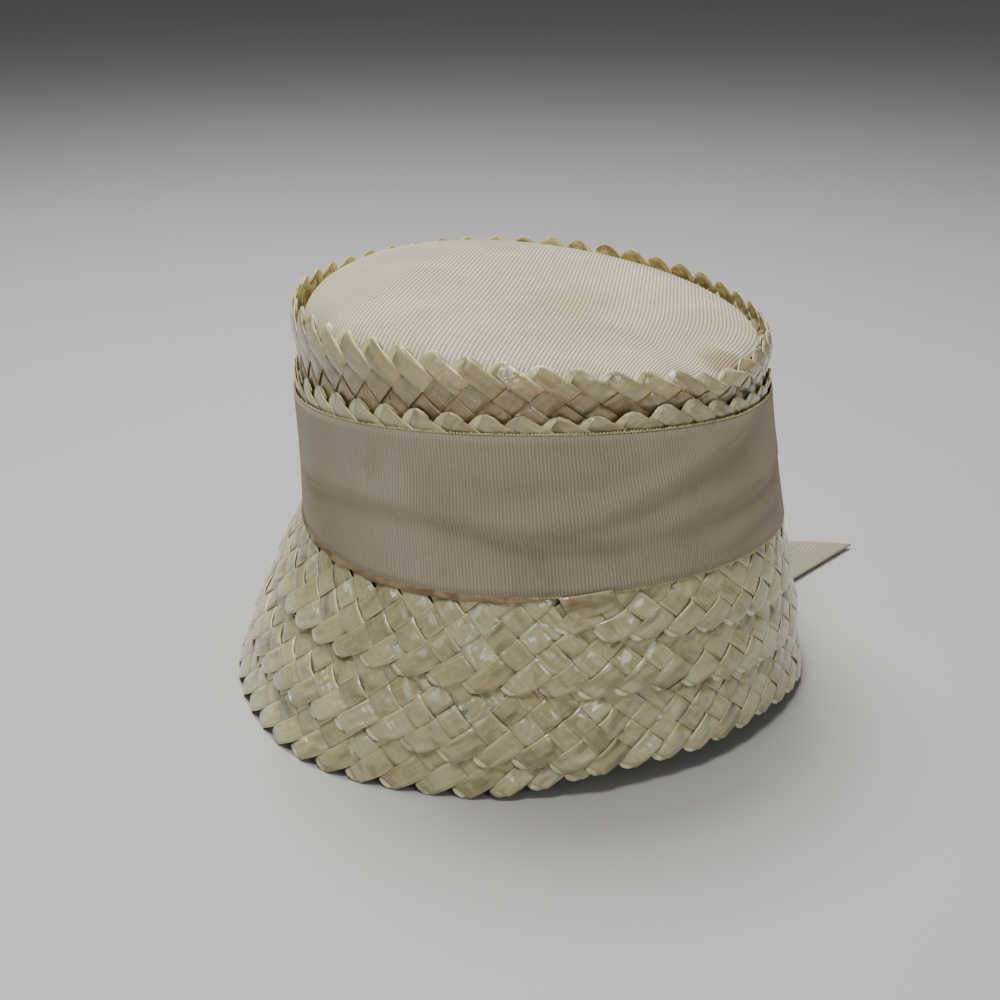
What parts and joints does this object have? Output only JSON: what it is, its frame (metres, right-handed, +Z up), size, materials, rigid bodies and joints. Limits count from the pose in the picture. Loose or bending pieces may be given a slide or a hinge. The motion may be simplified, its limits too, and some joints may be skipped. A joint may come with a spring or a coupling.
{
  "type": "straw bucket hat",
  "caption": "Woman's straw hat: ribbed domed tip, wide grosgrain band and a flared brim sewn from a plaited straw braid, with two ribbon tails behind.",
  "frame": {"origin": "centre of the brim's lower edge, on the surface that the hat rests on", "axes": "+Z up through the crown, +Y to the back of the hat where the ribbon's knot and tails are, +X to the wearer's left"},
  "size_m": [0.2223, 0.2932, 0.159],
  "materials": {
    "straw": "glossy plaited straw with darker edges",
    "ribbon": "matt ribbed grosgrain",
    "tip_cloth": "fine ribbed cloth, lightly stained",
    "foundation": "coarse open-woven hat foundation"
  },
  "bodies": {
    "root": {"crown_tip": "tip_cloth", "crown_wall": "foundation", "crown_braid_upper": "straw", "crown_braid_lower": "straw", "ribbon_band": "ribbon", "brim_braid": "straw", "ribbon_knot": "ribbon", "ribbon_tail_right": "ribbon", "ribbon_tail_left": "ribbon"}
  },
  "joints": []
}
